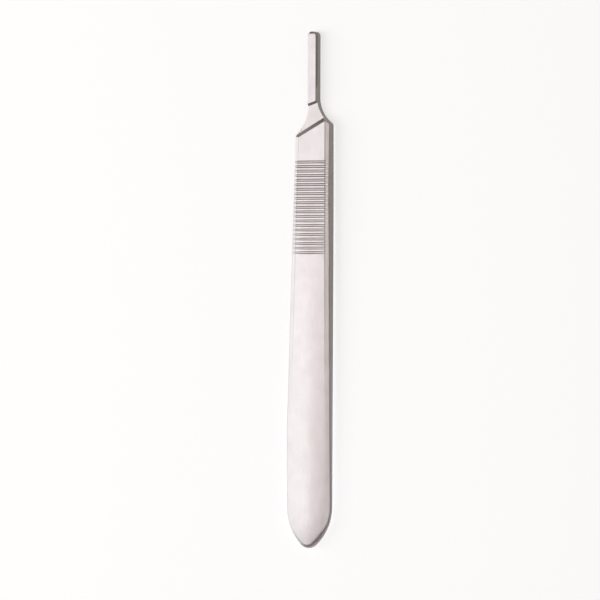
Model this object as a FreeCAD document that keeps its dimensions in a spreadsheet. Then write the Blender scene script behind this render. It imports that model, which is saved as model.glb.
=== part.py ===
import FreeCAD, Part
import math
import os
import Sketcher

# Scalpel handle: one solid piece of steel for detachable blades, lying on its back.
# Lengths are millimetres. +Y runs from the butt to the tip, +Z is the side that takes the blade.
# The model's middle plane is z = 0 inside the body, which is then lifted onto its back.

SIZES = [
    ("length", 125.0, "tip of the nose to the end of the butt"),
    ("thickness", 3.2, "front face to back face"),
    ("butt_width", 12.2, "widest part of the handle"),
    ("butt_round", 10.2, "length of the rounded end of the butt"),
    ("butt_end_radius", 2.7, "radius of the very end of the butt"),
    ("butt_lean", 0.25, "very end of the butt, from the middle towards the belly"),
    ("widest_from_tip", 96.5, "where the belly edge reaches the full width"),
    ("nose_width", 2.3, "bar that carries the blade"),
    ("nose_offset", 0.75, "nose axis, from the middle of the butt towards the spine"),
    ("spine_flare_radius", 7.3, "hollow curve from the nose to the spine corner"),
    ("spine_corner_from_tip", 22.4, "corner between that curve and the spine"),
    ("spine_corner_side", 5.69, "middle of the butt to that corner"),
    ("spine_corner_radius", 0.8, "rounding of that corner"),
    ("belly_flare_radius", 9.3, "hollow curve from the nose to the belly corner"),
    ("belly_corner_from_tip", 24.45, "corner between that curve and the belly"),
    ("belly_corner_side", 3.41, "middle of the butt to that corner"),
    ("belly_corner_radius", 1.0, "rounding of that corner"),
    ("bevel_width", 1.0, "bevel beside the front and back faces, at the shoulder"),
    ("bevel_growth", 0.45, "how much wider the bevel is at the butt"),
    ("bevel_angle", 17.3, "degrees that the bevel falls away"),
    ("face_allowance", 0.3, "extra height of the blank that is milled off the flat faces"),
    ("crown_from_tip", 39.0, "where the flat faces start to swell into a crown"),
    ("crown_rise", 0.82, "height of the crown across the end of the butt"),
    ("end_fall_length", 4.2, "stretch over which the butt thins to its end"),
    ("end_fall", 0.5, "how much each face has fallen at the end"),
    ("end_land", 0.5, "upright edge left at the very end, between the rounded faces"),
    ("seat_height", 1.88, "back face to the seat that the blade lies on"),
    ("shoulder_from_tip", 23.04, "foot of the shoulder, on the middle of the butt"),
    ("shoulder_slant", 28.7, "degrees between the shoulder and square across"),
    ("shoulder_wall", 0.45, "upright step that the blade stops against"),
    ("shoulder_ramp", 0.9, "depth of the slope from that step to the front face"),
    ("shoulder_round", 0.9, "rounding between the slope and the front face"),
    ("lug_height", 0.7, "lug above the seat"),
    ("lug_length", 17.65, "tip to the back of the lug, on the nose axis"),
    ("lug_slant", 18.0, "degrees between the back of the lug and square across"),
    ("lug_ramp", 0.5, "run of the slope at the back of the lug"),
    ("lug_ramp_height", 0.6, "height of that slope"),
    ("groove_length", 13.4, "tip to the back of the blade grooves"),
    ("groove_depth", 0.45, "how far the blade grooves cut in under the lug"),
    ("groove_height", 0.42, "opening of the blade grooves above the seat"),
    ("groove_relief", 0.05, "blade groove below the seat"),
    ("grip_from_tip", 31.6, "tip to the first grip groove"),
    ("grip_pitch", 1.095, "from one grip groove to the next"),
    ("grip_rows", 21, "number of grip grooves on each face"),
    ("grip_groove_width", 0.7, "mouth of a grip groove"),
    ("grip_floor_width", 0.26, "floor of a grip groove"),
    ("grip_groove_depth", 0.2, "depth of a grip groove"),
    ("lug_rim_radius", 0.2, "rounded rim of the lug"),
    ("lug_nose_run", 0.65, "stretch over which the top of the lug rolls over to the tip"),
    ("lug_nose_fall", 0.2, "how much it has fallen there"),
    ("overcut", 1.0, "how far a cut runs past the steel"),
]
# Two points nearer than this are one corner.
CLOSE = 0.01

document = FreeCAD.newDocument("ScalpelHandle")
sizes = document.addObject("Spreadsheet::Sheet", "Sizes")
for row, (alias, value, note) in enumerate(SIZES, start=1):
    sizes.set(f"A{row}", alias)
    sizes.set(f"B{row}", str(value))
    sizes.setAlias(f"B{row}", alias)
    sizes.set(f"C{row}", note)
document.recompute()

# Places that several features share, as expressions on the sheet.
TIP = "(Sizes.length / 2)"
END = "(-Sizes.length / 2)"
FACE = "(Sizes.thickness / 2)"
SEAT = "(Sizes.seat_height - Sizes.thickness / 2)"
BUTT_HALF = "(Sizes.butt_width / 2)"
ROUND_START = f"({END} + Sizes.butt_round)"
WIDEST = f"({TIP} - Sizes.widest_from_tip)"
NOSE_HALF = "(Sizes.nose_width / 2)"
NOSE_SPINE = f"(Sizes.nose_offset + {NOSE_HALF})"
NOSE_BELLY = f"(Sizes.nose_offset - {NOSE_HALF})"
TIP_CENTRE = f"({TIP} - {NOSE_HALF})"
SPINE_CORNER = f"({TIP} - Sizes.spine_corner_from_tip)"
SPINE_CORNER_X = "Sizes.spine_corner_side"
BELLY_CORNER = f"({TIP} - Sizes.belly_corner_from_tip)"
BELLY_CORNER_X = "(-Sizes.belly_corner_side)"
BEVEL_SLOPE = "tan(Sizes.bevel_angle * 1 deg)"


def flare_run(radius, reach):
    """How far along the handle an arc runs from where it is level with it, to move this far out."""
    return f"sqrt({radius} ^ 2 - ({radius} - {reach}) ^ 2)"


def flare_reach(radius, run):
    """How far out such an arc has moved after this run."""
    return f"({radius} - sqrt({radius} ^ 2 - {run} ^ 2))"


SPINE_RUN = flare_run("Sizes.spine_flare_radius", f"({SPINE_CORNER_X} - {NOSE_SPINE})")
BELLY_RUN = flare_run("Sizes.belly_flare_radius", f"({NOSE_BELLY} - {BELLY_CORNER_X})")
SPINE_FLARE = f"({SPINE_CORNER} + {SPINE_RUN})"
BELLY_FLARE = f"({BELLY_CORNER} + {BELLY_RUN})"


def number(expression):
    """The present value of an expression on the sheet."""
    return float(sizes.evalExpression(expression))


def plane_of(body, role):
    """One of the body's own origin planes."""
    return next(item for item in body.Origin.OriginFeatures if item.Role == role)


def new_sketch(body, name, role, offset="0"):
    """A sketch on an origin plane, moved along the plane's normal."""
    sketch = body.newObject("Sketcher::SketchObject", name)
    sketch.AttachmentSupport = [(plane_of(body, role), "")]
    sketch.MapMode = "FlatFace"
    sketch.setExpression("AttachmentOffset.Base.z", offset)
    return sketch


def pin(sketch, geometry, end, across, along):
    """Holds one point of a sketch at two expressions, measured from the origin."""
    for kind, expression in (("DistanceX", across), ("DistanceY", along)):
        datum = Sketcher.Constraint(kind, -1, 1, geometry, end, number(expression))
        index = sketch.addConstraint(datum)
        sketch.setExpression(f"Constraints[{index}]", expression)


def arc_through(start, via, finish):
    """An arc through three points, and whether it runs anticlockwise from the first."""
    circle = Part.Arc(start, via, finish).toShape().Curve
    centre = circle.Center
    turn = (via - start).cross(finish - via).z
    first, last = (start, finish) if turn > 0 else (finish, start)
    plain = Part.Circle(centre, FreeCAD.Vector(0, 0, 1), circle.Radius)
    arc = Part.ArcOfCircle(plain, plain.parameter(first), plain.parameter(last))
    return arc, turn > 0


def outline(sketch, corners):
    """A closed chain of pinned corners: (across, along), or with a third pair for an arc's middle."""
    ends = []
    for index, corner in enumerate(corners):
        following = corners[(index + 1) % len(corners)]
        start = FreeCAD.Vector(number(corner[0]), number(corner[1]), 0)
        finish = FreeCAD.Vector(number(following[0]), number(following[1]), 0)
        if len(corner) == 2:
            edge = sketch.addGeometry(Part.LineSegment(start, finish))
            ends.append((edge, 1, 2))
            continue
        via = FreeCAD.Vector(number(corner[2][0]), number(corner[2][1]), 0)
        arc, forward = arc_through(start, via, finish)
        edge = sketch.addGeometry(arc)
        ends.append((edge, 1, 2) if forward else (edge, 2, 1))
        middle = sketch.addGeometry(Part.Point(via), True)
        pin(sketch, middle, 1, corner[2][0], corner[2][1])
        sketch.addConstraint(Sketcher.Constraint("PointOnObject", middle, 1, edge))
    for index, (edge, start_end, _) in enumerate(ends):
        before, _, before_end = ends[index - 1]
        sketch.addConstraint(Sketcher.Constraint("Coincident", before, before_end, edge, start_end))
        pin(sketch, edge, start_end, corners[index][0], corners[index][1])


def cut(body, name, profile, kind, side, depth=None):
    """A pocket that has to take steel away."""
    before = body.Tip.Shape.Volume
    pocket = body.newObject("PartDesign::Pocket", name)
    pocket.Profile = profile
    pocket.Type = kind
    pocket.SideType = side
    if depth is not None:
        pocket.setExpression("Length", depth)
    document.recompute()
    if pocket.Shape.Volume >= before:
        raise RuntimeError(f"{name} cuts nothing")
    return pocket


handle = document.addObject("PartDesign::Body", "scalpel_handle")
handle.Label = "scalpel_handle"
handle.setExpression("Placement.Base.z", FACE)


# Blank: flat at the front with bevelled edges, swelling into a crown towards the butt.
def spine_at(along):
    """Spine edge at a place along the handle."""
    share = f"(({along} - {ROUND_START}) / ({SPINE_CORNER} - {ROUND_START}))"
    return f"({BUTT_HALF} + ({SPINE_CORNER_X} - {BUTT_HALF}) * {share})"


def belly_at(along):
    """Belly edge at a place along the handle."""
    share = f"(({along} - {WIDEST}) / ({BELLY_CORNER} - {WIDEST}))"
    return f"(({BELLY_CORNER_X} + {BUTT_HALF}) * {share} - {BUTT_HALF})"


def bevel_at(along):
    """Bevel width at a place along the handle."""
    share = f"(({SPINE_CORNER} - {along}) / ({SPINE_CORNER} - {END}))"
    return f"(Sizes.bevel_width + Sizes.bevel_growth * {share})"


def blank_section(name, along, belly, spine, inset, level, crest=None):
    """Cross-section of the blank. Its faces are flat, or arched up to the crest between the bevels."""
    edge = f"({level} - ({inset} + Sizes.overcut) * {BEVEL_SLOPE})"
    inner_belly = f"({belly} + {inset})"
    inner_spine = f"({spine} - {inset})"
    outer_belly = f"({belly} - Sizes.overcut)"
    outer_spine = f"({spine} + Sizes.overcut)"
    middle = f"(({belly} + {spine}) / 2)"
    arch = [] if crest is None else [(middle, crest)]
    hollow = [] if crest is None else [(middle, f"-{crest}")]
    sketch = new_sketch(handle, name, "XZ_Plane", f"-{along}")
    outline(sketch, [
        (inner_spine, level, *arch),
        (inner_belly, level),
        (outer_belly, edge),
        (outer_belly, f"-{edge}"),
        (inner_belly, f"-{level}", *hollow),
        (inner_spine, f"-{level}"),
        (outer_spine, f"-{edge}"),
        (outer_spine, edge),
    ])
    return sketch


def blank_loft(name, sections, ruled):
    """One stretch of the blank."""
    loft = handle.newObject("PartDesign::AdditiveLoft", name)
    loft.Profile = sections[0]
    loft.Sections = sections[1:]
    loft.Ruled = ruled
    document.recompute()
    return loft


FRONT = f"({TIP} + Sizes.overcut)"
CROWN_START = f"({TIP} - Sizes.crown_from_tip)"
FALL_START = f"({END} + Sizes.end_fall_length)"
FALL_MIDDLE = f"({END} + Sizes.end_fall_length / 2)"
BACK = f"({END} - Sizes.end_fall_length / 4)"


def crown_at(along):
    """Crown height at a place along the handle."""
    return f"(Sizes.crown_rise * ({CROWN_START} - {along}) / ({CROWN_START} - {END}))"


def fall_at(along):
    """How far each face has fallen near the end of the butt."""
    return f"(Sizes.end_fall * (({FALL_START} - {along}) / Sizes.end_fall_length) ^ 2)"


def flat_section(name, along, allowance):
    """A section of the flat stretch, with this much left on its faces."""
    inset = f"({bevel_at(along)} + {allowance} / {BEVEL_SLOPE})"
    return blank_section(name, along, belly_at(along), spine_at(along), inset, f"({FACE} + {allowance})")


def crowned_section(name, along, spine, fall="0"):
    """A section of the crowned stretch, where the handle has its full width on the belly side."""
    crest = f"({FACE} - {fall})"
    level = f"({crest} - {crown_at(along)})"
    return blank_section(name, along, f"-{BUTT_HALF}", spine, bevel_at(along), level, crest)


blank_loft("FlatBlank", [
    flat_section("FrontSection", FRONT, "Sizes.face_allowance"),
    flat_section("BackSection", CROWN_START, "Sizes.face_allowance"),
], True)
faces = new_sketch(handle, "FaceCuts", "YZ_Plane")
for side in ("", "-"):
    outline(faces, [
        (CROWN_START, f"{side}{FACE}"),
        (f"({FRONT} + Sizes.overcut)", f"{side}{FACE}"),
        (f"({FRONT} + Sizes.overcut)", f"{side}({FACE} + Sizes.overcut)"),
        (CROWN_START, f"{side}({FACE} + Sizes.overcut)"),
    ])
cut(handle, "Faces", faces, "ThroughAll", "Symmetric")

blank_loft("CrownedBlank", [
    flat_section("CrownStart", CROWN_START, "0"),
    crowned_section("WidestSection", WIDEST, spine_at(WIDEST)),
    crowned_section("ButtSection", FALL_START, BUTT_HALF),
], True)
blank_loft("ButtEnd", [
    crowned_section(name, place, BUTT_HALF, fall_at(place))
    for name, place in (("FallStart", FALL_START), ("FallMiddle", FALL_MIDDLE), ("FallEnd", BACK))
], False)


# Plan: the blank is trimmed to the outline of the handle seen from the front.
def flare_point(radius, start, run, nose, side):
    """Middle point of a hollow flare, side being the sign of its direction away from the nose."""
    return f"({nose} {side} {flare_reach(radius, f'({run} / 2)')})", f"({start} - {run} / 2)"


def butt_side(lean):
    """Middle and lower end of one side of the rounded butt, whose end leans this far away from it."""
    half = f"({BUTT_HALF} + {lean})"
    rise = "(Sizes.butt_round - Sizes.butt_end_radius)"
    radius = (
        f"(({half} ^ 2 + {rise} ^ 2 - Sizes.butt_end_radius ^ 2)"
        f" / (2 * ({half} - Sizes.butt_end_radius)))"
    )
    share = f"(Sizes.butt_end_radius / ({radius} - Sizes.butt_end_radius))"
    join_x = f"({share} * ({radius} - {half}) - {lean})"
    join_y = f"({END} + Sizes.butt_end_radius - {share} * {rise})"
    middle_y = f"(({ROUND_START} + {join_y}) / 2)"
    middle_x = f"({BUTT_HALF} - {flare_reach(radius, f'({ROUND_START} - {middle_y})')})"
    return (middle_x, middle_y), (join_x, join_y)


(spine_middle_x, spine_middle_y), (spine_join_x, spine_join_y) = butt_side("Sizes.butt_lean")
(belly_middle_x, belly_middle_y), (belly_join_x, belly_join_y) = butt_side("(-Sizes.butt_lean)")

plan = new_sketch(handle, "Plan", "XY_Plane")
outline(plan, [
    (BUTT_HALF, ROUND_START),
    (SPINE_CORNER_X, SPINE_CORNER, flare_point(
        "Sizes.spine_flare_radius", SPINE_FLARE, SPINE_RUN, NOSE_SPINE, "+"
    )),
    (NOSE_SPINE, SPINE_FLARE),
    (NOSE_SPINE, TIP_CENTRE, ("Sizes.nose_offset", TIP)),
    (NOSE_BELLY, TIP_CENTRE),
    (NOSE_BELLY, BELLY_FLARE, flare_point(
        "Sizes.belly_flare_radius", BELLY_FLARE, BELLY_RUN, NOSE_BELLY, "-"
    )),
    (BELLY_CORNER_X, BELLY_CORNER),
    (f"-{BUTT_HALF}", WIDEST),
    (f"-{BUTT_HALF}", ROUND_START, (f"-{belly_middle_x}", belly_middle_y)),
    (f"-{belly_join_x}", belly_join_y, ("-Sizes.butt_lean", END)),
    (spine_join_x, spine_join_y, (spine_middle_x, spine_middle_y)),
])
frame_side = f"({BUTT_HALF} + Sizes.butt_width)"
frame_end = f"({TIP} + Sizes.butt_width)"
outline(plan, [
    (frame_side, f"-{frame_end}"),
    (frame_side, frame_end),
    (f"-{frame_side}", frame_end),
    (f"-{frame_side}", f"-{frame_end}"),
])
cut(handle, "Trim", plan, "ThroughAll", "Symmetric")


def round_edges(name, radius, wanted):
    """A fillet on the edges of the tip feature that the test picks."""
    base = handle.Tip
    edges = enumerate(base.Shape.Edges, start=1)
    picked = [f"Edge{index}" for index, edge in edges if wanted(base.Shape, edge)]
    if not picked:
        raise RuntimeError(f"{name} found no edge")
    fillet = handle.newObject("PartDesign::Fillet", name)
    fillet.Base = (base, picked)
    fillet.setExpression("Radius", radius)
    document.recompute()
    return fillet


def upright_at(across, along):
    """A test for the upright edge at one corner of the plan."""
    x, y = number(across), number(along)

    def test(_, edge):
        return all(math.hypot(end.X - x, end.Y - y) < CLOSE for end in edge.Vertexes)

    return test


round_edges("SpineCorner", "Sizes.spine_corner_radius", upright_at(SPINE_CORNER_X, SPINE_CORNER))
round_edges("BellyCorner", "Sizes.belly_corner_radius", upright_at(BELLY_CORNER_X, BELLY_CORNER))

# End of the butt: both faces roll over towards each other, with a radius of nearly half its height.
END_ROUND = f"({FACE} - {fall_at(f'({END} + {FACE})')})"
END_AXIS = f"({END} + sqrt({END_ROUND} ^ 2 - (Sizes.end_land / 2) ^ 2))"
end_profile = new_sketch(handle, "EndProfile", "YZ_Plane")
outline(end_profile, [
    (END_AXIS, END_ROUND, (f"({END_AXIS} - {END_ROUND})", "0")),
    (END_AXIS, f"-{END_ROUND}"),
    (END_AXIS, f"-({FACE} + Sizes.overcut)"),
    (f"({END} - Sizes.overcut)", f"-({FACE} + Sizes.overcut)"),
    (f"({END} - Sizes.overcut)", f"({FACE} + Sizes.overcut)"),
    (END_AXIS, f"({FACE} + Sizes.overcut)"),
])
cut(handle, "EndRound", end_profile, "ThroughAll", "Symmetric")


# Shoulder: everything ahead of the slanted step is cut down to the seat.
def slanted_sketch(name, slant, foot, offset="0"):
    """A sketch seen along a slanted step: across it is the distance ahead of the foot, up is Z."""
    sketch = new_sketch(handle, name, "YZ_Plane", offset)
    turn = FreeCAD.Rotation(FreeCAD.Vector(0, 1, 0), number(slant))
    sketch.AttachmentOffset = FreeCAD.Placement(FreeCAD.Vector(0, 0, 0), turn)
    sketch.setExpression("AttachmentOffset.Rotation.Angle", f"{slant} * 1 deg")
    sketch.setExpression("AttachmentOffset.Base.x", foot)
    return sketch


RAMP_TOP = f"({FACE} + Sizes.overcut)"
WALL_TOP = f"({SEAT} + Sizes.shoulder_wall)"
ramp_angle = f"atan(({FACE} - {WALL_TOP}) / Sizes.shoulder_ramp)"
round_back = f"(Sizes.shoulder_round * tan({ramp_angle} / 2))"
shoulder = slanted_sketch(
    "ShoulderProfile", "Sizes.shoulder_slant", f"{TIP} - Sizes.shoulder_from_tip"
)
outline(shoulder, [
    ("0", SEAT),
    ("Sizes.shoulder_from_tip", SEAT),
    ("Sizes.shoulder_from_tip", RAMP_TOP),
    (f"-(Sizes.shoulder_ramp + {round_back})", RAMP_TOP),
    (f"-(Sizes.shoulder_ramp + {round_back})", FACE, (
        f"-(Sizes.shoulder_ramp + {round_back}) + Sizes.shoulder_round * sin({ramp_angle} / 2)",
        f"{FACE} - Sizes.shoulder_round * (1 - cos({ramp_angle} / 2))",
    )),
    (
        f"-(Sizes.shoulder_ramp + {round_back}) + Sizes.shoulder_round * sin({ramp_angle})",
        f"{FACE} - Sizes.shoulder_round * (1 - cos({ramp_angle}))",
    ),
    ("0", WALL_TOP),
])
cut(handle, "Shoulder", shoulder, "ThroughAll", "Symmetric")

# Lug: it stands on the seat, follows the nose round the tip and ends in a slanted slope.
LUG_TOP = f"({SEAT} + Sizes.lug_height)"
LUG_BACK = f"({TIP} - Sizes.lug_length)"
lug_skew = f"({NOSE_HALF} * tan(Sizes.lug_slant * 1 deg))"
lug_plan = new_sketch(handle, "LugPlan", "XY_Plane", SEAT)
outline(lug_plan, [
    (NOSE_SPINE, f"{LUG_BACK} + {lug_skew}"),
    (NOSE_SPINE, TIP_CENTRE, ("Sizes.nose_offset", TIP)),
    (NOSE_BELLY, TIP_CENTRE),
    (NOSE_BELLY, f"{LUG_BACK} - {lug_skew}"),
])
lug = handle.newObject("PartDesign::Pad", "Lug")
lug.Profile = lug_plan
lug.setExpression("Length", "Sizes.lug_height")
document.recompute()

ramp_foot = f"({LUG_TOP} - Sizes.lug_ramp_height)"
ramp_reach = "(Sizes.lug_ramp * (1 + Sizes.overcut / Sizes.lug_ramp_height))"
lug_end = slanted_sketch("LugEnd", "Sizes.lug_slant", LUG_BACK, "Sizes.nose_offset")
outline(lug_end, [
    ("0", ramp_foot),
    (ramp_reach, f"{LUG_TOP} + Sizes.overcut"),
    ("-Sizes.overcut", f"{LUG_TOP} + Sizes.overcut"),
    ("-Sizes.overcut", ramp_foot),
])
cut(handle, "LugSlope", lug_end, "ThroughAll", "Symmetric")


def lug_rim(shape, edge):
    """A test for the edges between the top of the lug and its upright sides."""
    middle = edge.valueAt((edge.FirstParameter + edge.LastParameter) / 2)
    faces = shape.ancestorsOfType(edge, Part.Face)
    upright = any(abs(face.normalAt(*face.Surface.parameter(middle)).z) < CLOSE for face in faces)
    return upright and all(abs(end.Z - number(LUG_TOP)) < CLOSE for end in edge.Vertexes)


round_edges("LugRim", "Sizes.lug_rim_radius", lug_rim)

NOSE_ROUND = "((Sizes.lug_nose_run ^ 2 + Sizes.lug_nose_fall ^ 2) / (2 * Sizes.lug_nose_fall))"
nose_start = f"({TIP} - Sizes.lug_nose_run)"
lug_nose = new_sketch(handle, "LugNoseProfile", "YZ_Plane")
outline(lug_nose, [
    (nose_start, LUG_TOP, (
        f"({TIP} - Sizes.lug_nose_run / 2)",
        f"({LUG_TOP} - {flare_reach(NOSE_ROUND, '(Sizes.lug_nose_run / 2)')})",
    )),
    (TIP, f"({LUG_TOP} - Sizes.lug_nose_fall)"),
    (f"({TIP} + Sizes.overcut)", f"({LUG_TOP} - Sizes.lug_nose_fall)"),
    (f"({TIP} + Sizes.overcut)", f"({LUG_TOP} + Sizes.overcut)"),
    (nose_start, f"({LUG_TOP} + Sizes.overcut)"),
])
cut(handle, "LugNose", lug_nose, "ThroughAll", "Symmetric")

# Blade grooves: they run under both sides of the lug and meet round the tip.
groove_floor = f"({SEAT} - Sizes.groove_relief)"
groove_back = f"({TIP} - Sizes.groove_length)"
neck_spine = f"({NOSE_SPINE} - Sizes.groove_depth)"
neck_belly = f"({NOSE_BELLY} + Sizes.groove_depth)"
grooves = new_sketch(handle, "GroovePlan", "XY_Plane", groove_floor)
outline(grooves, [
    (neck_spine, groove_back),
    (neck_spine, TIP_CENTRE, ("Sizes.nose_offset", f"{TIP} - Sizes.groove_depth")),
    (neck_belly, TIP_CENTRE),
    (neck_belly, groove_back),
    (f"{NOSE_BELLY} - Sizes.overcut", groove_back),
    (f"{NOSE_BELLY} - Sizes.overcut", f"{TIP} + Sizes.overcut"),
    (f"{NOSE_SPINE} + Sizes.overcut", f"{TIP} + Sizes.overcut"),
    (f"{NOSE_SPINE} + Sizes.overcut", groove_back),
])
blade_grooves = handle.newObject("PartDesign::Pocket", "BladeGrooves")
blade_grooves.Profile = grooves
blade_grooves.Reversed = True
blade_grooves.setExpression("Length", "Sizes.groove_height + Sizes.groove_relief")
document.recompute()

# Grip: straight grooves across both faces, of one depth, so that they run out on the bevels.
grip_first = f"({TIP} - Sizes.grip_from_tip)"
mouth = "(Sizes.grip_groove_width / 2)"
floor = "(Sizes.grip_floor_width / 2)"
flank = f"(({mouth} - {floor}) / Sizes.grip_groove_depth)"
grip = new_sketch(handle, "GripProfile", "YZ_Plane")
for side in ("", "-"):
    outline(grip, [
        (f"{grip_first} - {floor}", f"{side}({FACE} - Sizes.grip_groove_depth)"),
        (f"{grip_first} + {floor}", f"{side}({FACE} - Sizes.grip_groove_depth)"),
        (f"{grip_first} + {mouth} + {flank} * Sizes.overcut", f"{side}({FACE} + Sizes.overcut)"),
        (f"{grip_first} - {mouth} - {flank} * Sizes.overcut", f"{side}({FACE} + Sizes.overcut)"),
    ])
grip_groove = cut(handle, "GripGroove", grip, "ThroughAll", "Symmetric")
grip_field = handle.newObject("PartDesign::LinearPattern", "GripField")
grip_field.Originals = [grip_groove]
grip_field.Direction = (grip, ["H_Axis"])
grip_field.Reversed = True
grip_field.setExpression("Occurrences", "Sizes.grip_rows")
grip_field.setExpression("Length", "Sizes.grip_pitch * (Sizes.grip_rows - 1)")
handle.Tip = grip_field
document.recompute()

failed = [item.Name for item in document.Objects if {"Invalid", "Error"} & set(item.State)]
if failed:
    raise RuntimeError(f"failed: {failed}")
if handle.Shape.isNull() or not handle.Shape.isValid():
    raise RuntimeError("scalpel_handle has no valid shape")
os.makedirs("parts", exist_ok=True)
handle.Shape.exportStep(f"parts/{handle.Label}.step")
box = handle.Shape.optimalBoundingBox(True, False)
print(f"{handle.Label}: {box.XLength:.2f} x {box.YLength:.2f} x {box.ZLength:.2f} mm")
print(f"volume {handle.Shape.Volume:.1f} cubic mm, {len(handle.Shape.Faces)} faces")
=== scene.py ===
import math

import bmesh
import bpy
from mathutils import Euler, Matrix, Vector


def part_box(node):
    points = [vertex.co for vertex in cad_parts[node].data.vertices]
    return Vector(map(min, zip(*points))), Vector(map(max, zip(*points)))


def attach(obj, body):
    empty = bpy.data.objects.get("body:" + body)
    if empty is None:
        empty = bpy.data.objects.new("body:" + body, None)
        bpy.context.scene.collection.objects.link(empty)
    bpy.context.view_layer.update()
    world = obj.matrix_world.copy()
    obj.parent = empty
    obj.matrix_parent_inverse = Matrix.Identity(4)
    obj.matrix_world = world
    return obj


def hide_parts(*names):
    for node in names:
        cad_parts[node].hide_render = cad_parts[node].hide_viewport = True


bl_info = {
    "name": "Scalpel Handle",
    "version": (1, 0, 0),
    "blender": (4, 5, 0),
    "location": "View3D > Sidebar > Scalpel Handle",
    "description": "Finishes a steel scalpel handle and sets the stage that it lies on",
    "category": "Object",
}

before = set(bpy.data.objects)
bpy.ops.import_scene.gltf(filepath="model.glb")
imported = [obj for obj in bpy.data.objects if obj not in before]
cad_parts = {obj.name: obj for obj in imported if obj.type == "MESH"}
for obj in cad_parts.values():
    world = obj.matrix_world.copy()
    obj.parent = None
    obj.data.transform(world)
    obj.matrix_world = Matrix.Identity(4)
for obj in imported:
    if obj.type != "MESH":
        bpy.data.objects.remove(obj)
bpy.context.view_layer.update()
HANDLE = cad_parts["scalpel_handle"]
FLOOR_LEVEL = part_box("scalpel_handle")[0].z
MM = 0.001

# The handle's own sizes in millimetres. +X is the spine side and +Y the tip. Corners are (across, along).
HALF_THICKNESS = 1.6
HALF_WIDTH = 6.1
SPINE_CORNER = (5.69, 40.1)
BELLY_CORNER = (-3.41, 38.05)
WIDEST = -34.0

# The butt: its tip, the length of its round part, the radius of its end and its lean to the belly side.
BUTT_TIP = -62.5
BUTT_ROUND = 10.2
BUTT_END_RADIUS = 2.7
BUTT_LEAN = 0.25
ROUND_START = BUTT_TIP + BUTT_ROUND

# The bevels along both edges: their width at the front, how much wider they get and their angle.
BEVEL_FRONT = 1.0
BEVEL_GROWTH = 0.45
BEVEL_ANGLE = math.radians(17.3)

# The faces' crown: its start, its rise and extra swell at the butt, and how far it follows the outline.
CROWN_START = 23.5
CROWN_RISE = 0.82
SWELL = 0.04
FOLLOW = 0.4

# The faces fall by this much over this length at the very end.
END_FALL = 0.1
END_FALL_LENGTH = 4.2

# From here on the rims widen to their width at the end. They take up this share of the height at most.
RIM_GROWTH_START = ROUND_START - 3.0
MOST_RIM = 0.9

# The butt is shaped anew behind this place.
BUTT_JOIN = 6.0
# Its rings start a gap behind that and end just ahead of the tip, with these steps between them.
JOIN_GAP = 0.3
TIP_GAP = 0.002
STRAIGHT_STEPS = 26
ROUND_STEPS = 49

# A ring's points go in from both sides, over a band at the rim, the rest of the bevel and on to the middle.
RIM_BAND = 0.5
RIM_SHARES = (0.0, 0.012, 0.05, 0.11, 0.2, 0.32, 0.48, 0.7, 1.0)
BEVEL_SHARES = (0.33, 0.67, 1.0)
MIDDLE_STEPS = 12
# A bevel takes up this share of half the width at most, and the band this share of the bevel.
MOST_BEVEL = 0.6
MOST_BAND = 0.8

# Points of the solid that are nearer than this are welded, and facets that turn by less are joined.
WELD_DISTANCE = 0.02 * MM
FLAT_ANGLE = math.radians(0.5)
# Facets across a rounded rim ahead of the butt.
RIM_SEGMENTS = 8

# The seat for the blade lies ahead of this place, at this height above the back.
SEAT_START = 36.0 * MM
SEAT_HEIGHT = 1.88 * MM
# Edges there that lie higher than this belong to the seat and the lug and aren't rounded.
LUG_FOOT = SEAT_HEIGHT - 0.2 * MM

# Grip: first groove, distance from one to the next, number of grooves and half a mouth.
GRIP_FIRST = 30.9 * MM
GRIP_PITCH = 1.095 * MM
GRIP_ROWS = 21
GRIP_MOUTH = 0.35 * MM

# The painted shade in a groove ends over these distances from its middle, and over these places across the
# handle.
GROOVE_FADE = (0.7 * GRIP_MOUTH, 1.35 * GRIP_MOUTH)
GROOVE_BELLY_FADE = (-4.56 * MM, -4.06 * MM)
GROOVE_SPINE_FADE = (4.59 * MM, 4.99 * MM)
GROOVE_SHADE_SHARE = 0.35

# Dark lines along the borders of the bevels fade sideways, and towards the butt.
LINE_FADE = (0.06 * MM, 0.24 * MM)
LINE_START = (-35.0 * MM, 5.0 * MM)
SPINE_LINE_SHARE = 0.75
BELLY_LINE_SHARE = 0.3

# The seat is a little darker.
SEAT_BACK_FADE = (SEAT_START, SEAT_START + MM)
SEAT_TOP_FADE = (SEAT_HEIGHT + 0.05 * MM, SEAT_HEIGHT + 0.15 * MM)
SEAT_SHARE = 0.12

# A surface is a side while it hardly looks up or down, and part of the shoulder where it looks ahead. These
# take the rougher finish and the side colour, which is painted shade.
SIDE_FADE = (0.35, 0.78)
SHOULDER_RANGE = (0.05, 0.2)
SHOULDER_SHARE = 0.85

# The painted shade on the sides is a little weaker towards the butt, over these places, and keeps this
# share of its strength there.
SIDE_SHADE_RANGE = (-40.0 * MM, -5.0 * MM)
BUTT_SIDE_SHADE_SHARE = 0.86

# Sizes of the steel's patches and pits, and how much longer than wide its grain is.
CLOUD_SIZE = 14.0 * MM
BLOTCH_SIZE = 3.0 * MM
PIT_SIZE = 0.35 * MM
GRAIN_STRETCH = (1, 30, 1)

# Which part of each noise shows, and how much it does.
CLOUD_RANGE = (0.35, 0.65)
CLOUD_SHADE = 0.985
GRAIN_RANGE = (0.3, 0.75)
GRAIN_SHARE = 0.25
PIT_RANGE = (0.35, 0.7)
PIT_SHARE = 0.3
DARK_SHADE = 0.86
ROUGHNESS_RANGE = (0.3, 0.7)
BLOTCH_ROUGHNESS = 0.02
GRAIN_ROUGHNESS = 0.03
GRAIN_STRENGTH = 0.35
PIT_STRENGTH = 0.3

# Soft panels hang this far from the middle of the handle.
PANEL_DISTANCE = 0.9
WHITE = (1.0, 1.0, 1.0)
WARM = (1.0, 0.95, 0.93)
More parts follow.
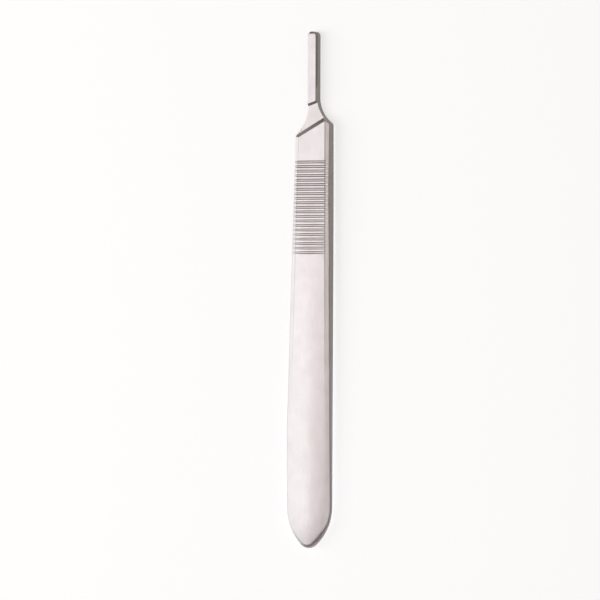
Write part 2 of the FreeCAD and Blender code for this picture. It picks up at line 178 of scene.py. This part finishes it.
# Each panel's name, direction from the handle, two sides in metres, share of the panel level and colour.
PANELS = (
    ("panel_belly", (-0.75, -0.03, 0.66), (0.6, 0.7), 1.01, WHITE),
    ("panel_top", (-0.16, -0.03, 1.0), (0.6, 0.7), 0.79, WARM),
    ("panel_spine", (0.6, 0.0, 0.84), (0.6, 0.4), 0.16, WHITE),
    ("panel_low", (-1.0, 0.0, 0.22), (0.9, 0.35), 0.5, WHITE),
)

# The camera aims at this place on the floor, (across, along), shifted this far along the picture's width.
AIM = (0.75 * MM, -2.45 * MM)
AIM_SHIFT = -3.88 * MM


class ShapeSettings(bpy.types.PropertyGroup):
    """Rounded rims of the handle, and the edges that are shaded sharp."""

    rim_width: bpy.props.FloatProperty(
        name="Rim Width",
        description="Width of the rounding from the tip to the grip",
        unit="LENGTH",
        default=0.00024,
    )
    butt_rim_width: bpy.props.FloatProperty(
        name="Butt Rim Width",
        description="Width of the rounding along the sides of the butt",
        unit="LENGTH",
        default=0.00034,
    )
    end_rim_width: bpy.props.FloatProperty(
        name="End Rim Width",
        description="Width of the rounding at the very end of the butt",
        unit="LENGTH",
        default=0.0009,
    )
    rim_angle: bpy.props.FloatProperty(
        name="Rim Angle",
        description="Edges that turn by more than this are rims",
        subtype="ANGLE",
        default=math.radians(60.0),
    )
    crease_angle: bpy.props.FloatProperty(
        name="Crease Angle",
        description="Edges of the butt that turn by more than this are shaded sharp",
        subtype="ANGLE",
        default=math.radians(30.0),
    )
    front_crease_angle: bpy.props.FloatProperty(
        name="Front Crease Angle",
        description="Edges ahead of the butt that turn by more than this are shaded sharp",
        subtype="ANGLE",
        default=math.radians(15.5),
    )


class SteelSettings(bpy.types.PropertyGroup):
    """Finish of the steel, with the colours of its painted shade."""

    face_color: bpy.props.FloatVectorProperty(
        name="Face Color",
        description="Reflected colour of the satin faces",
        subtype="COLOR",
        size=3,
        min=0.0,
        max=1.0,
        default=(0.87, 0.83, 0.845),
    )
    # Painted shade: the upright sides and the shoulder take this darker colour.
    side_shade_color: bpy.props.FloatVectorProperty(
        name="Side Color",
        description="Reflected colour of the upright sides, which are left blasted",
        subtype="COLOR",
        size=3,
        min=0.0,
        max=1.0,
        default=(0.33, 0.295, 0.27),
    )
    # Painted shade in the grip grooves. The same darker colour also goes on the lines along the bevels and
    # on the seat.
    groove_shade_line_and_seat_color: bpy.props.FloatVectorProperty(
        name="Groove Color",
        description="Reflected colour that darkens the grip grooves, the ground lines and the seat",
        subtype="COLOR",
        size=3,
        min=0.0,
        max=1.0,
        default=(0.42, 0.38, 0.36),
    )
    face_roughness: bpy.props.FloatProperty(
        name="Face Roughness",
        description="Roughness of the satin faces",
        min=0.0,
        max=1.0,
        default=0.36,
    )
    side_roughness: bpy.props.FloatProperty(
        name="Side Roughness",
        description="Roughness of the blasted sides",
        min=0.0,
        max=1.0,
        default=0.55,
    )
    grain_width: bpy.props.FloatProperty(
        name="Grain Width",
        description="Width of one streak of the lengthwise satin grain",
        unit="LENGTH",
        default=0.00012,
    )
    grain_depth: bpy.props.FloatProperty(
        name="Grain Depth",
        description="Depth of the satin grain",
        unit="LENGTH",
        default=0.000004,
    )


class StageSettings(bpy.types.PropertyGroup):
    """Floor, lamps and camera."""

    floor_color: bpy.props.FloatVectorProperty(
        name="Floor Color",
        description="Colour of the plain floor",
        subtype="COLOR",
        size=3,
        min=0.0,
        max=1.0,
        default=(0.93, 0.95, 0.97),
    )
    floor_size: bpy.props.FloatProperty(
        name="Floor Size",
        description="Side of the square floor",
        unit="LENGTH",
        default=3.0,
    )
    floor_glow: bpy.props.FloatProperty(
        name="Floor Glow",
        description="White that the floor adds to its own colour, for the eye and for reflections",
        min=0.0,
        max=1.0,
        default=0.6,
    )
    room_color: bpy.props.FloatVectorProperty(
        name="Room Color",
        description="Colour of the light that comes from all round",
        subtype="COLOR",
        size=3,
        min=0.0,
        max=1.0,
        default=(0.16, 0.145, 0.135),
    )
    panel_level: bpy.props.FloatProperty(
        name="Panel Level",
        description="Brightness of the soft panels, of which each one takes its own share",
        min=0.0,
        default=1.1,
    )
    camera_tilt: bpy.props.FloatProperty(
        name="Camera Tilt",
        description="How far the camera leans from straight above towards the spine side",
        subtype="ANGLE",
        default=math.radians(28.0),
    )
    camera_turn: bpy.props.FloatProperty(
        name="Camera Turn",
        description="How far the camera is turned about its own line of sight",
        subtype="ANGLE",
        default=math.radians(0.16),
    )
    camera_distance: bpy.props.FloatProperty(
        name="Camera Distance",
        description="From the camera to the handle",
        unit="LENGTH",
        default=1.5,
    )
    view_width: bpy.props.FloatProperty(
        name="View Width",
        description="Width of the picture at the handle",
        unit="LENGTH",
        default=0.14529,
    )


def share_of(value, low, high):
    """How far a value is from low to high, kept from 0 to 1."""
    return min(max((value - low) / (high - low), 0.0), 1.0)


def between(start, finish, share):
    """The value this share of the way from start to finish."""
    return start + (finish - start) * share


def add_object(name, data):
    """A new object in the scene."""
    item = bpy.data.objects.new(name, data)
    bpy.context.scene.collection.objects.link(item)
    return item


def spine_edge(y):
    """Spine side of the outline ahead of the rounded butt."""
    return between(HALF_WIDTH, SPINE_CORNER[0], share_of(y, ROUND_START, SPINE_CORNER[1]))


def belly_edge(y):
    """Belly side of the outline ahead of the rounded butt."""
    return between(-HALF_WIDTH, BELLY_CORNER[0], share_of(y, WIDEST, BELLY_CORNER[1]))


def bevel_width(y):
    """Width of the bevels at this place along the handle."""
    return BEVEL_FRONT + BEVEL_GROWTH * share_of(y, SPINE_CORNER[1], BUTT_TIP)


class ButtArc:
    """An arc of the outline at the butt, seen from the front."""

    def __init__(self, x, y, radius):
        self.x, self.y, self.radius = x, y, radius

    def reach(self, y):
        """How far the arc reaches from its middle at this place along the handle."""
        return math.sqrt(max(self.radius ** 2 - (y - self.y) ** 2, 0.0))

    def depth(self, x, y):
        """How deep a point lies inside the arc."""
        return self.radius - math.hypot(x - self.x, y - self.y)


def side_arc(sign):
    """The arc on one side of the butt, tangent to that side and to the arc of the end."""
    half = HALF_WIDTH + sign * BUTT_LEAN
    rise = BUTT_ROUND - BUTT_END_RADIUS
    radius = (half ** 2 + rise ** 2 - BUTT_END_RADIUS ** 2) / (2 * (half - BUTT_END_RADIUS))
    return ButtArc(sign * (HALF_WIDTH - radius), ROUND_START, radius)


class Butt:
    """The shape of the handle behind its grip: crowned faces, bevels and rounded rims."""

    def __init__(self, settings):
        self.settings = settings
        self.spine, self.belly = side_arc(1), side_arc(-1)
        self.end = ButtArc(-BUTT_LEAN, BUTT_TIP + BUTT_END_RADIUS, BUTT_END_RADIUS)
        # The end's arc meets each side's arc at this turn from straight back.
        self.spine_turn, self.belly_turn = [
            math.atan2(abs(self.end.x - arc.x), arc.y - self.end.y) for arc in (self.spine, self.belly)
        ]

    def sides(self, y):
        """Belly and spine side of the outline at this place along the handle."""
        if y >= ROUND_START:
            return belly_edge(y), spine_edge(y)
        below = self.end.y - y
        spine = self.end if below > self.end.radius * math.cos(self.spine_turn) else self.spine
        belly = self.end if below > self.end.radius * math.cos(self.belly_turn) else self.belly
        return belly.x - belly.reach(y), spine.x + spine.reach(y)

    def depth(self, x, y):
        """How deep a point lies inside the outline."""
        if y >= ROUND_START:
            return min(x - belly_edge(y), spine_edge(y) - x)
        turn = math.atan2(x - self.end.x, self.end.y - y)
        if y < self.end.y and -self.belly_turn < turn < self.spine_turn:
            return self.end.depth(x, y)
        return min(self.spine.depth(x, y), self.belly.depth(x, y))

    def face(self, x, y):
        """Height of the crowned face and its bevels above the middle of the steel, with sharp rims."""
        crest = HALF_THICKNESS - END_FALL * share_of(y, BUTT_TIP + END_FALL_LENGTH, BUTT_TIP) ** 2
        along = share_of(y, CROWN_START, BUTT_TIP)
        crown = CROWN_RISE * along + SWELL * along ** 3
        half = (spine_edge(y) - belly_edge(y)) / 2
        flat = half - bevel_width(y)
        left, right = self.sides(y)
        reach = (right - left) / 2
        out = math.sqrt((x - (left + right) / 2) ** 2 + FOLLOW * (half ** 2 - reach ** 2))
        height = crest - crown * min(out / flat, 1.0) ** 2
        return height - max(out - flat, 0.0) * math.tan(BEVEL_ANGLE)

    def rim(self, y):
        """Width of the rims at this place along the handle."""
        rim = between(
            self.settings.rim_width / MM,
            self.settings.butt_rim_width / MM,
            share_of(y, BUTT_JOIN, WIDEST),
        )
        growth = share_of(y, RIM_GROWTH_START, self.end.y) ** 2
        return between(rim, self.settings.end_rim_width / MM, growth)

    def rise(self, x, y):
        """Height of the face above the middle of the steel, with rounded rims."""
        height = self.face(x, y)
        rim = min(self.rim(y), MOST_RIM * height)
        inset = max(rim - max(self.depth(x, y), 0.0), 0.0)
        return height - rim + math.sqrt(rim ** 2 - inset ** 2)

    def ring(self, y):
        """Points round the handle at one place along it, in metres."""
        left, right = self.sides(y)
        half = (right - left) / 2
        bevel = min(bevel_width(y) / half, MOST_BEVEL)
        band = min(RIM_BAND / half, MOST_BAND * bevel)
        steps = [band * share for share in RIM_SHARES]
        steps += [between(band, bevel, share) for share in BEVEL_SHARES]
        steps += [between(bevel, 1.0, count / MIDDLE_STEPS) for count in range(1, MIDDLE_STEPS + 1)]
        across = [right - half * step for step in steps]
        across += [left + half * step for step in reversed(steps[:-1])]
        top = [(x, HALF_THICKNESS + self.rise(x, y)) for x in across]
        back = [(x, HALF_THICKNESS - self.rise(x, y)) for x in reversed(across)]
        return [Vector((x, y, z)) * MM for x, z in top + back]


def butt_places():
    """Places along the handle of the butt's rings, closer together towards its end."""
    places = [
        between(BUTT_JOIN - JOIN_GAP, ROUND_START, count / STRAIGHT_STEPS)
        for count in range(STRAIGHT_STEPS + 1)
    ]
    for count in range(1, ROUND_STEPS):
        turn = count / ROUND_STEPS * math.pi / 2
        places.append(between(ROUND_START, BUTT_TIP, math.sin(turn)))
    return places + [BUTT_TIP + TIP_GAP]


def is_rim(edge, settings):
    """Whether an edge is a rim between a face and a side, away from the seat for the blade."""
    if edge.calc_face_angle(0.0) < settings.rim_angle:
        return False
    middle = (edge.verts[0].co + edge.verts[1].co) / 2
    return middle.y < SEAT_START or middle.z < LUG_FOOT


def rounded_front(settings):
    """The solid's mesh ahead of the butt, with rounded rims and an opening at its back."""
    mesh = bmesh.new()
    mesh.from_mesh(HANDLE.data)
    bmesh.ops.remove_doubles(mesh, verts=mesh.verts, dist=WELD_DISTANCE)
    bmesh.ops.dissolve_limit(mesh, angle_limit=FLAT_ANGLE, verts=mesh.verts, edges=mesh.edges)
    bmesh.ops.bevel(
        mesh,
        geom=[edge for edge in mesh.edges if is_rim(edge, settings)],
        offset=settings.rim_width,
        offset_type="OFFSET",
        profile_type="SUPERELLIPSE",
        segments=RIM_SEGMENTS,
        profile=0.5,
        affect="EDGES",
        clamp_overlap=False,
    )
    bmesh.ops.bisect_plane(
        mesh,
        geom=mesh.verts[:] + mesh.edges[:] + mesh.faces[:],
        plane_co=(0.0, BUTT_JOIN * MM, 0.0),
        plane_no=(0.0, -1.0, 0.0),
        clear_outer=True,
    )
    return mesh


def add_butt(mesh, settings):
    """Continues an open mesh with the butt, in place of what was cut off behind the grip."""
    opening = [edge for edge in mesh.edges if edge.is_boundary]
    butt = Butt(settings)
    rings = [[mesh.verts.new(place) for place in butt.ring(y)] for y in butt_places()]
    for ring, following in zip(rings, rings[1:]):
        for index in range(len(ring)):
            mesh.faces.new((ring[index - 1], ring[index], following[index], following[index - 1]))
    mesh.faces.new(rings[-1])
    first = [mesh.edges.get((rings[0][index - 1], rings[0][index])) for index in range(len(rings[0]))]
    bmesh.ops.bridge_loops(mesh, edges=opening + first)


def shade_smooth(mesh, settings):
    """Smooth shading, but for the edges that turn by more than the crease angles."""
    for face in mesh.faces:
        face.smooth = True
    for edge in mesh.edges:
        ahead = all(point.co.y > BUTT_JOIN * MM for point in edge.verts)
        limit = settings.front_crease_angle if ahead else settings.crease_angle
        edge.smooth = edge.calc_face_angle(0.0) < limit


def shape_handle(settings):
    """The handle with rounded rims and a smooth butt, in place of the node's plain facets."""
    mesh = rounded_front(settings)
    add_butt(mesh, settings)
    bmesh.ops.recalc_face_normals(mesh, faces=mesh.faces)
    shade_smooth(mesh, settings)
    data = bpy.data.meshes.new("handle")
    mesh.to_mesh(data)
    mesh.free()
    piece = add_object("handle", data)
    normals = piece.modifiers.new("normals", "WEIGHTED_NORMAL")
    normals.keep_sharp = True
    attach(piece, "root")
    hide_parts("scalpel_handle")


class SCALPEL_OT_shape_handle(bpy.types.Operator):
    """Shape the handle with rounded rims and a smooth butt."""

    bl_idname = "scalpel.shape_handle"
    bl_label = "Shape Handle"

    def execute(self, context):
        shape_handle(context.scene.scalpel_shape)
        return {"FINISHED"}


class Nodes:
    """Adds nodes to one tree and joins them."""

    def __init__(self, tree):
        self.tree = tree
        self.tree.nodes.clear()

    def add(self, kind, **settings):
        """A new node with these settings."""
        node = self.tree.nodes.new(kind)
        for name, value in settings.items():
            setattr(node, name, value)
        return node

    def feed(self, socket, value):
        """A socket takes another socket's output or a plain value."""
        if isinstance(value, bpy.types.NodeSocket):
            self.tree.links.new(value, socket)
        else:
            socket.default_value = value

    def show(self, kind, shader):
        """The tree's output takes a shader."""
        output = self.add(kind)
        self.feed(output.inputs["Surface"], shader.outputs[0])

    def parts(self, vector):
        """The three parts of a vector."""
        node = self.add("ShaderNodeSeparateXYZ")
        self.feed(node.inputs[0], vector)
        return node.outputs[:]

    def math(self, operation, *values, clamp=False):
        """The result of one step of arithmetic."""
        node = self.add("ShaderNodeMath", operation=operation, use_clamp=clamp)
        for socket, value in zip(node.inputs, values):
            self.feed(socket, value)
        return node.outputs[0]

    def ramp(self, value, low, high, low_result=0.0, high_result=1.0):
        """A value carried smoothly from one range to another."""
        node = self.add("ShaderNodeMapRange", interpolation_type="SMOOTHSTEP")
        for socket, given in zip(node.inputs, (value, low, high, low_result, high_result)):
            self.feed(socket, given)
        return node.outputs[0]

    def fade(self, value, low, high):
        """1 below a range and 0 above it."""
        return self.ramp(value, low, high, 1.0, 0.0)

    def mix(self, share, first, second):
        """Two colours mixed by a share from 0 to 1."""
        node = self.add("ShaderNodeMix", data_type="RGBA")
        self.feed(node.inputs[0], share)
        self.feed(node.inputs[6], first)
        self.feed(node.inputs[7], second)
        return node.outputs[2]

    def noise(self, place, size, stretch=(1, 1, 1), detail=2.0, roughness=0.5):
        """Noise whose blotches have this size in metres, before the stretch."""
        mapping = self.add("ShaderNodeMapping")
        self.feed(mapping.inputs["Vector"], place)
        mapping.inputs["Scale"].default_value = [1 / (size * share) for share in stretch]
        node = self.add("ShaderNodeTexNoise")
        self.feed(node.inputs["Vector"], mapping.outputs[0])
        node.inputs["Scale"].default_value = 1.0
        node.inputs["Detail"].default_value = detail
        node.inputs["Roughness"].default_value = roughness
        return node.outputs[0]

    def bump(self, height, strength, distance):
        """A node that tilts the surface by a height."""
        node = self.add("ShaderNodeBump")
        node.inputs["Strength"].default_value = strength
        node.inputs["Distance"].default_value = distance
        self.feed(node.inputs["Height"], height)
        return node


class SteelNodes(Nodes):
    """Nodes of the steel, with the place on the handle and the way that its surface looks."""

    def __init__(self, tree):
        super().__init__(tree)
        self.place = self.add("ShaderNodeTexCoord").outputs["Object"]
        self.across, self.along, self.height = self.parts(self.place)
        self.normal = self.parts(self.add("ShaderNodeNewGeometry").outputs["Normal"])

    def upright(self):
        """1 on the sides, nearly 1 on the shoulder and 0 on the faces."""
        side = self.fade(self.math("ABSOLUTE", self.normal[2]), *SIDE_FADE)
        shoulder = self.ramp(self.normal[1], *SHOULDER_RANGE, 0.0, SHOULDER_SHARE)
        return self.math("MAXIMUM", side, shoulder)

    def bevel_border_line(self, edge, inwards):
        """1 on a dark line where a face meets the bevel along this edge."""
        ends = (WIDEST, BELLY_CORNER[1])
        places = [end * MM for end in ends]
        places += [(edge(end) + inwards * bevel_width(end)) * MM for end in ends]
        line = self.add("ShaderNodeMapRange")
        for socket, given in zip(line.inputs, [self.along] + places):
            self.feed(socket, given)
        gap = self.math("ABSOLUTE", self.math("SUBTRACT", self.across, line.outputs[0]))
        return self.math("MULTIPLY", self.fade(gap, *LINE_FADE), self.ramp(self.along, *LINE_START))

    def groove(self):
        """1 in the grooves of the grip, where shade is painted."""
        behind = self.math("SUBTRACT", GRIP_FIRST, self.along)
        step = self.math("ROUND", self.math("DIVIDE", behind, GRIP_PITCH))
        step = self.math("MINIMUM", self.math("MAXIMUM", step, 0.0), GRIP_ROWS - 1.0)
        gap = self.math("ABSOLUTE", self.math("MULTIPLY_ADD", step, -GRIP_PITCH, behind))
        groove = self.fade(gap, *GROOVE_FADE)
        groove = self.math("MULTIPLY", groove, self.ramp(self.across, *GROOVE_BELLY_FADE))
        return self.math("MULTIPLY", groove, self.fade(self.across, *GROOVE_SPINE_FADE))

    def seat(self):
        """1 on the seat for the blade and 0 on the lug above it."""
        ahead = self.ramp(self.along, *SEAT_BACK_FADE)
        return self.math("MULTIPLY", ahead, self.fade(self.height, *SEAT_TOP_FADE))


def shaded(color, share=1.0):
    """A setting's colour at this share of its brightness, as a node takes it."""
    return [part * share for part in color] + [1.0]


def steel_color(nodes, settings, upright, grain, pitting):
    """Colour of the steel: its uneven faces, the dark lines, painted shade in the grooves, the darker seat,
    and painted shade on the sides and shoulder.
    """
    clouds = nodes.noise(nodes.place, CLOUD_SIZE, detail=2.0)
    face, shade = shaded(settings.face_color), shaded(settings.face_color, DARK_SHADE)
    color = nodes.mix(nodes.ramp(clouds, *CLOUD_RANGE), shaded(settings.face_color, CLOUD_SHADE), face)
    color = nodes.mix(nodes.ramp(grain, *GRAIN_RANGE, 0.0, GRAIN_SHARE), color, shade)
    color = nodes.mix(nodes.ramp(pitting, *PIT_RANGE, 0.0, PIT_SHARE), color, shade)

    dark = shaded(settings.groove_shade_line_and_seat_color)
    belly_line = nodes.math("MULTIPLY", nodes.bevel_border_line(belly_edge, 1), BELLY_LINE_SHARE)
    lines = nodes.math("MULTIPLY_ADD", nodes.bevel_border_line(spine_edge, -1), SPINE_LINE_SHARE, belly_line)
    color = nodes.mix(lines, color, dark)
    # Painted shade in the grip grooves.
    color = nodes.mix(nodes.math("MULTIPLY", nodes.groove(), GROOVE_SHADE_SHARE), color, dark)
    color = nodes.mix(nodes.math("MULTIPLY", nodes.seat(), SEAT_SHARE), color, dark)

    # Painted shade: the sides and the shoulder take the darker side colour, a little less towards the butt.
    side_shade_share = nodes.ramp(nodes.along, *SIDE_SHADE_RANGE, BUTT_SIDE_SHADE_SHARE, 1.0)
    return nodes.mix(nodes.math("MULTIPLY", upright, side_shade_share), color, shaded(settings.side_shade_color))


def steel_roughness(nodes, settings, upright, grain):
    """Roughness of the steel, with blotches and grain in the faces."""
    blotches = nodes.noise(nodes.place, BLOTCH_SIZE, detail=3.0)
    change = nodes.ramp(blotches, *ROUGHNESS_RANGE, -BLOTCH_ROUGHNESS, BLOTCH_ROUGHNESS)
    roughness = nodes.math("ADD", settings.face_roughness, change)
    change = nodes.ramp(grain, *ROUGHNESS_RANGE, -GRAIN_ROUGHNESS, GRAIN_ROUGHNESS)
    roughness = nodes.math("ADD", roughness, change)
    extra = settings.side_roughness - settings.face_roughness
    return nodes.math("MULTIPLY_ADD", upright, extra, roughness, clamp=True)


def steel_material(settings):
    """Satin stainless steel with rougher sides, and painted shade on the sides, shoulder and grip grooves.
    """
    material = bpy.data.materials.new("satin_steel")
    material.use_nodes = True
    nodes = SteelNodes(material.node_tree)
    upright = nodes.upright()
    grain = nodes.noise(
        nodes.place, settings.grain_width, stretch=GRAIN_STRETCH, detail=3.0, roughness=0.6
    )
    pitting = nodes.noise(nodes.place, PIT_SIZE, detail=3.0, roughness=0.7)
    grain_bump = nodes.bump(grain, GRAIN_STRENGTH, settings.grain_depth)
    pit_bump = nodes.bump(pitting, PIT_STRENGTH, settings.grain_depth)
    nodes.feed(pit_bump.inputs["Normal"], grain_bump.outputs[0])
    shader = nodes.add("ShaderNodeBsdfPrincipled")
    shader.inputs["Metallic"].default_value = 1.0
    nodes.feed(shader.inputs["Base Color"], steel_color(nodes, settings, upright, grain, pitting))
    nodes.feed(shader.inputs["Roughness"], steel_roughness(nodes, settings, upright, grain))
    nodes.feed(shader.inputs["Normal"], pit_bump.outputs[0])
    nodes.show("ShaderNodeOutputMaterial", shader)
    return material


class SCALPEL_OT_finish_steel(bpy.types.Operator):
    """Give the handle its satin steel."""

    bl_idname = "scalpel.finish_steel"
    bl_label = "Finish Steel"

    def execute(self, context):
        material = steel_material(context.scene.scalpel_steel)
        for item in (HANDLE, bpy.data.objects["handle"]):
            item.data.materials.clear()
            item.data.materials.append(material)
        return {"FINISHED"}


def floor_material(settings):
    """Plain matt floor that also glows, for the eye and for reflections."""
    material = bpy.data.materials.new("floor")
    material.use_nodes = True
    nodes = Nodes(material.node_tree)
    matt = nodes.add("ShaderNodeBsdfDiffuse")
    matt.inputs["Color"].default_value = shaded(settings.floor_color)
    rays = nodes.add("ShaderNodeLightPath").outputs
    seen = nodes.math("MAXIMUM", rays["Is Camera Ray"], rays["Is Glossy Ray"])
    seen = nodes.math("MAXIMUM", seen, rays["Is Transmission Ray"])
    glow = nodes.add("ShaderNodeEmission")
    nodes.feed(glow.inputs["Strength"], nodes.math("MULTIPLY", seen, settings.floor_glow))
    both = nodes.add("ShaderNodeAddShader")
    nodes.feed(both.inputs[0], matt.outputs[0])
    nodes.feed(both.inputs[1], glow.outputs[0])
    nodes.show("ShaderNodeOutputMaterial", both)
    return material


def add_floor(settings):
    """A square floor that the handle lies on."""
    half = settings.floor_size / 2
    mesh = bpy.data.meshes.new("floor")
    sides = ((-half, -half), (half, -half), (half, half), (-half, half))
    mesh.from_pydata([(x, y, FLOOR_LEVEL) for x, y in sides], [], [(0, 1, 2, 3)])
    mesh.materials.append(floor_material(settings))
    floor = add_object("floor", mesh)


def add_room(settings):
    """Even light from all round."""
    world = bpy.data.worlds.new("room")
    world.use_nodes = True
    nodes = Nodes(world.node_tree)
    shader = nodes.add("ShaderNodeBackground")
    shader.inputs["Color"].default_value = shaded(settings.room_color)
    nodes.show("ShaderNodeOutputWorld", shader)
    bpy.context.scene.world = world


def add_panel(name, direction, size, level, color):
    """A soft panel that shines at the handle with this radiance."""
    lamp = bpy.data.lights.new(name, "AREA")
    lamp.shape = "RECTANGLE"
    lamp.size, lamp.size_y = size
    lamp.color = color
    lamp.energy = level * math.pi * size[0] * size[1]
    panel = add_object(name, lamp)
    towards = Vector(direction).normalized()
    panel.location = towards * PANEL_DISTANCE
    panel.rotation_mode = "QUATERNION"
    panel.rotation_quaternion = (-towards).to_track_quat("-Z", "Y")


def add_camera(settings):
    """A long lens that looks down on the handle from its spine side."""
    data = bpy.data.cameras.new("camera")
    data.lens = data.sensor_width * settings.camera_distance / settings.view_width
    camera = add_object("camera", data)
    turned = Euler((0.0, settings.camera_tilt, 0.0)).to_matrix()
    turned = turned @ Euler((0.0, 0.0, settings.camera_turn)).to_matrix()
    aim = Vector((*AIM, FLOOR_LEVEL)) + turned @ Vector((AIM_SHIFT, 0.0, 0.0))
    camera.location = aim + turned @ Vector((0.0, 0.0, settings.camera_distance))
    camera.rotation_euler = turned.to_euler()
    bpy.context.scene.camera = camera


class SCALPEL_OT_set_stage(bpy.types.Operator):
    """Lay the floor, hang the lamps and place the camera."""

    bl_idname = "scalpel.set_stage"
    bl_label = "Set Stage"

    def execute(self, context):
        settings = context.scene.scalpel_stage
        add_floor(settings)
        add_room(settings)
        for name, direction, size, share, color in PANELS:
            add_panel(name, direction, size, share * settings.panel_level, color)
        add_camera(settings)
        context.scene.view_settings.view_transform = "Standard"
        return {"FINISHED"}


class SCALPEL_PT_sidebar(bpy.types.Panel):
    """Settings and steps for the scalpel handle."""

    bl_idname = "SCALPEL_PT_sidebar"
    bl_label = "Scalpel Handle"
    bl_space_type = "VIEW_3D"
    bl_region_type = "UI"
    bl_category = "Scalpel Handle"

    def draw(self, context):
        scene = context.scene
        for title, settings, step in (
            ("Shape", scene.scalpel_shape, SCALPEL_OT_shape_handle),
            ("Steel", scene.scalpel_steel, SCALPEL_OT_finish_steel),
            ("Stage", scene.scalpel_stage, SCALPEL_OT_set_stage),
        ):
            box = self.layout.box()
            box.label(text=title)
            for name in settings.bl_rna.properties.keys():
                if name not in ("rna_type", "name"):
                    box.prop(settings, name)
            box.operator(step.bl_idname)


CLASSES = (
    ShapeSettings,
    SteelSettings,
    StageSettings,
    SCALPEL_OT_shape_handle,
    SCALPEL_OT_finish_steel,
    SCALPEL_OT_set_stage,
    SCALPEL_PT_sidebar,
)


def register():
    for item in CLASSES:
        bpy.utils.register_class(item)
    bpy.types.Scene.scalpel_shape = bpy.props.PointerProperty(type=ShapeSettings)
    bpy.types.Scene.scalpel_steel = bpy.props.PointerProperty(type=SteelSettings)
    bpy.types.Scene.scalpel_stage = bpy.props.PointerProperty(type=StageSettings)


def unregister():
    del bpy.types.Scene.scalpel_stage
    del bpy.types.Scene.scalpel_steel
    del bpy.types.Scene.scalpel_shape
    for item in reversed(CLASSES):
        bpy.utils.unregister_class(item)


def main():
    register()
    bpy.ops.scalpel.shape_handle()
    bpy.ops.scalpel.finish_steel()
    bpy.ops.scalpel.set_stage()


if __name__ == "__main__":
    main()
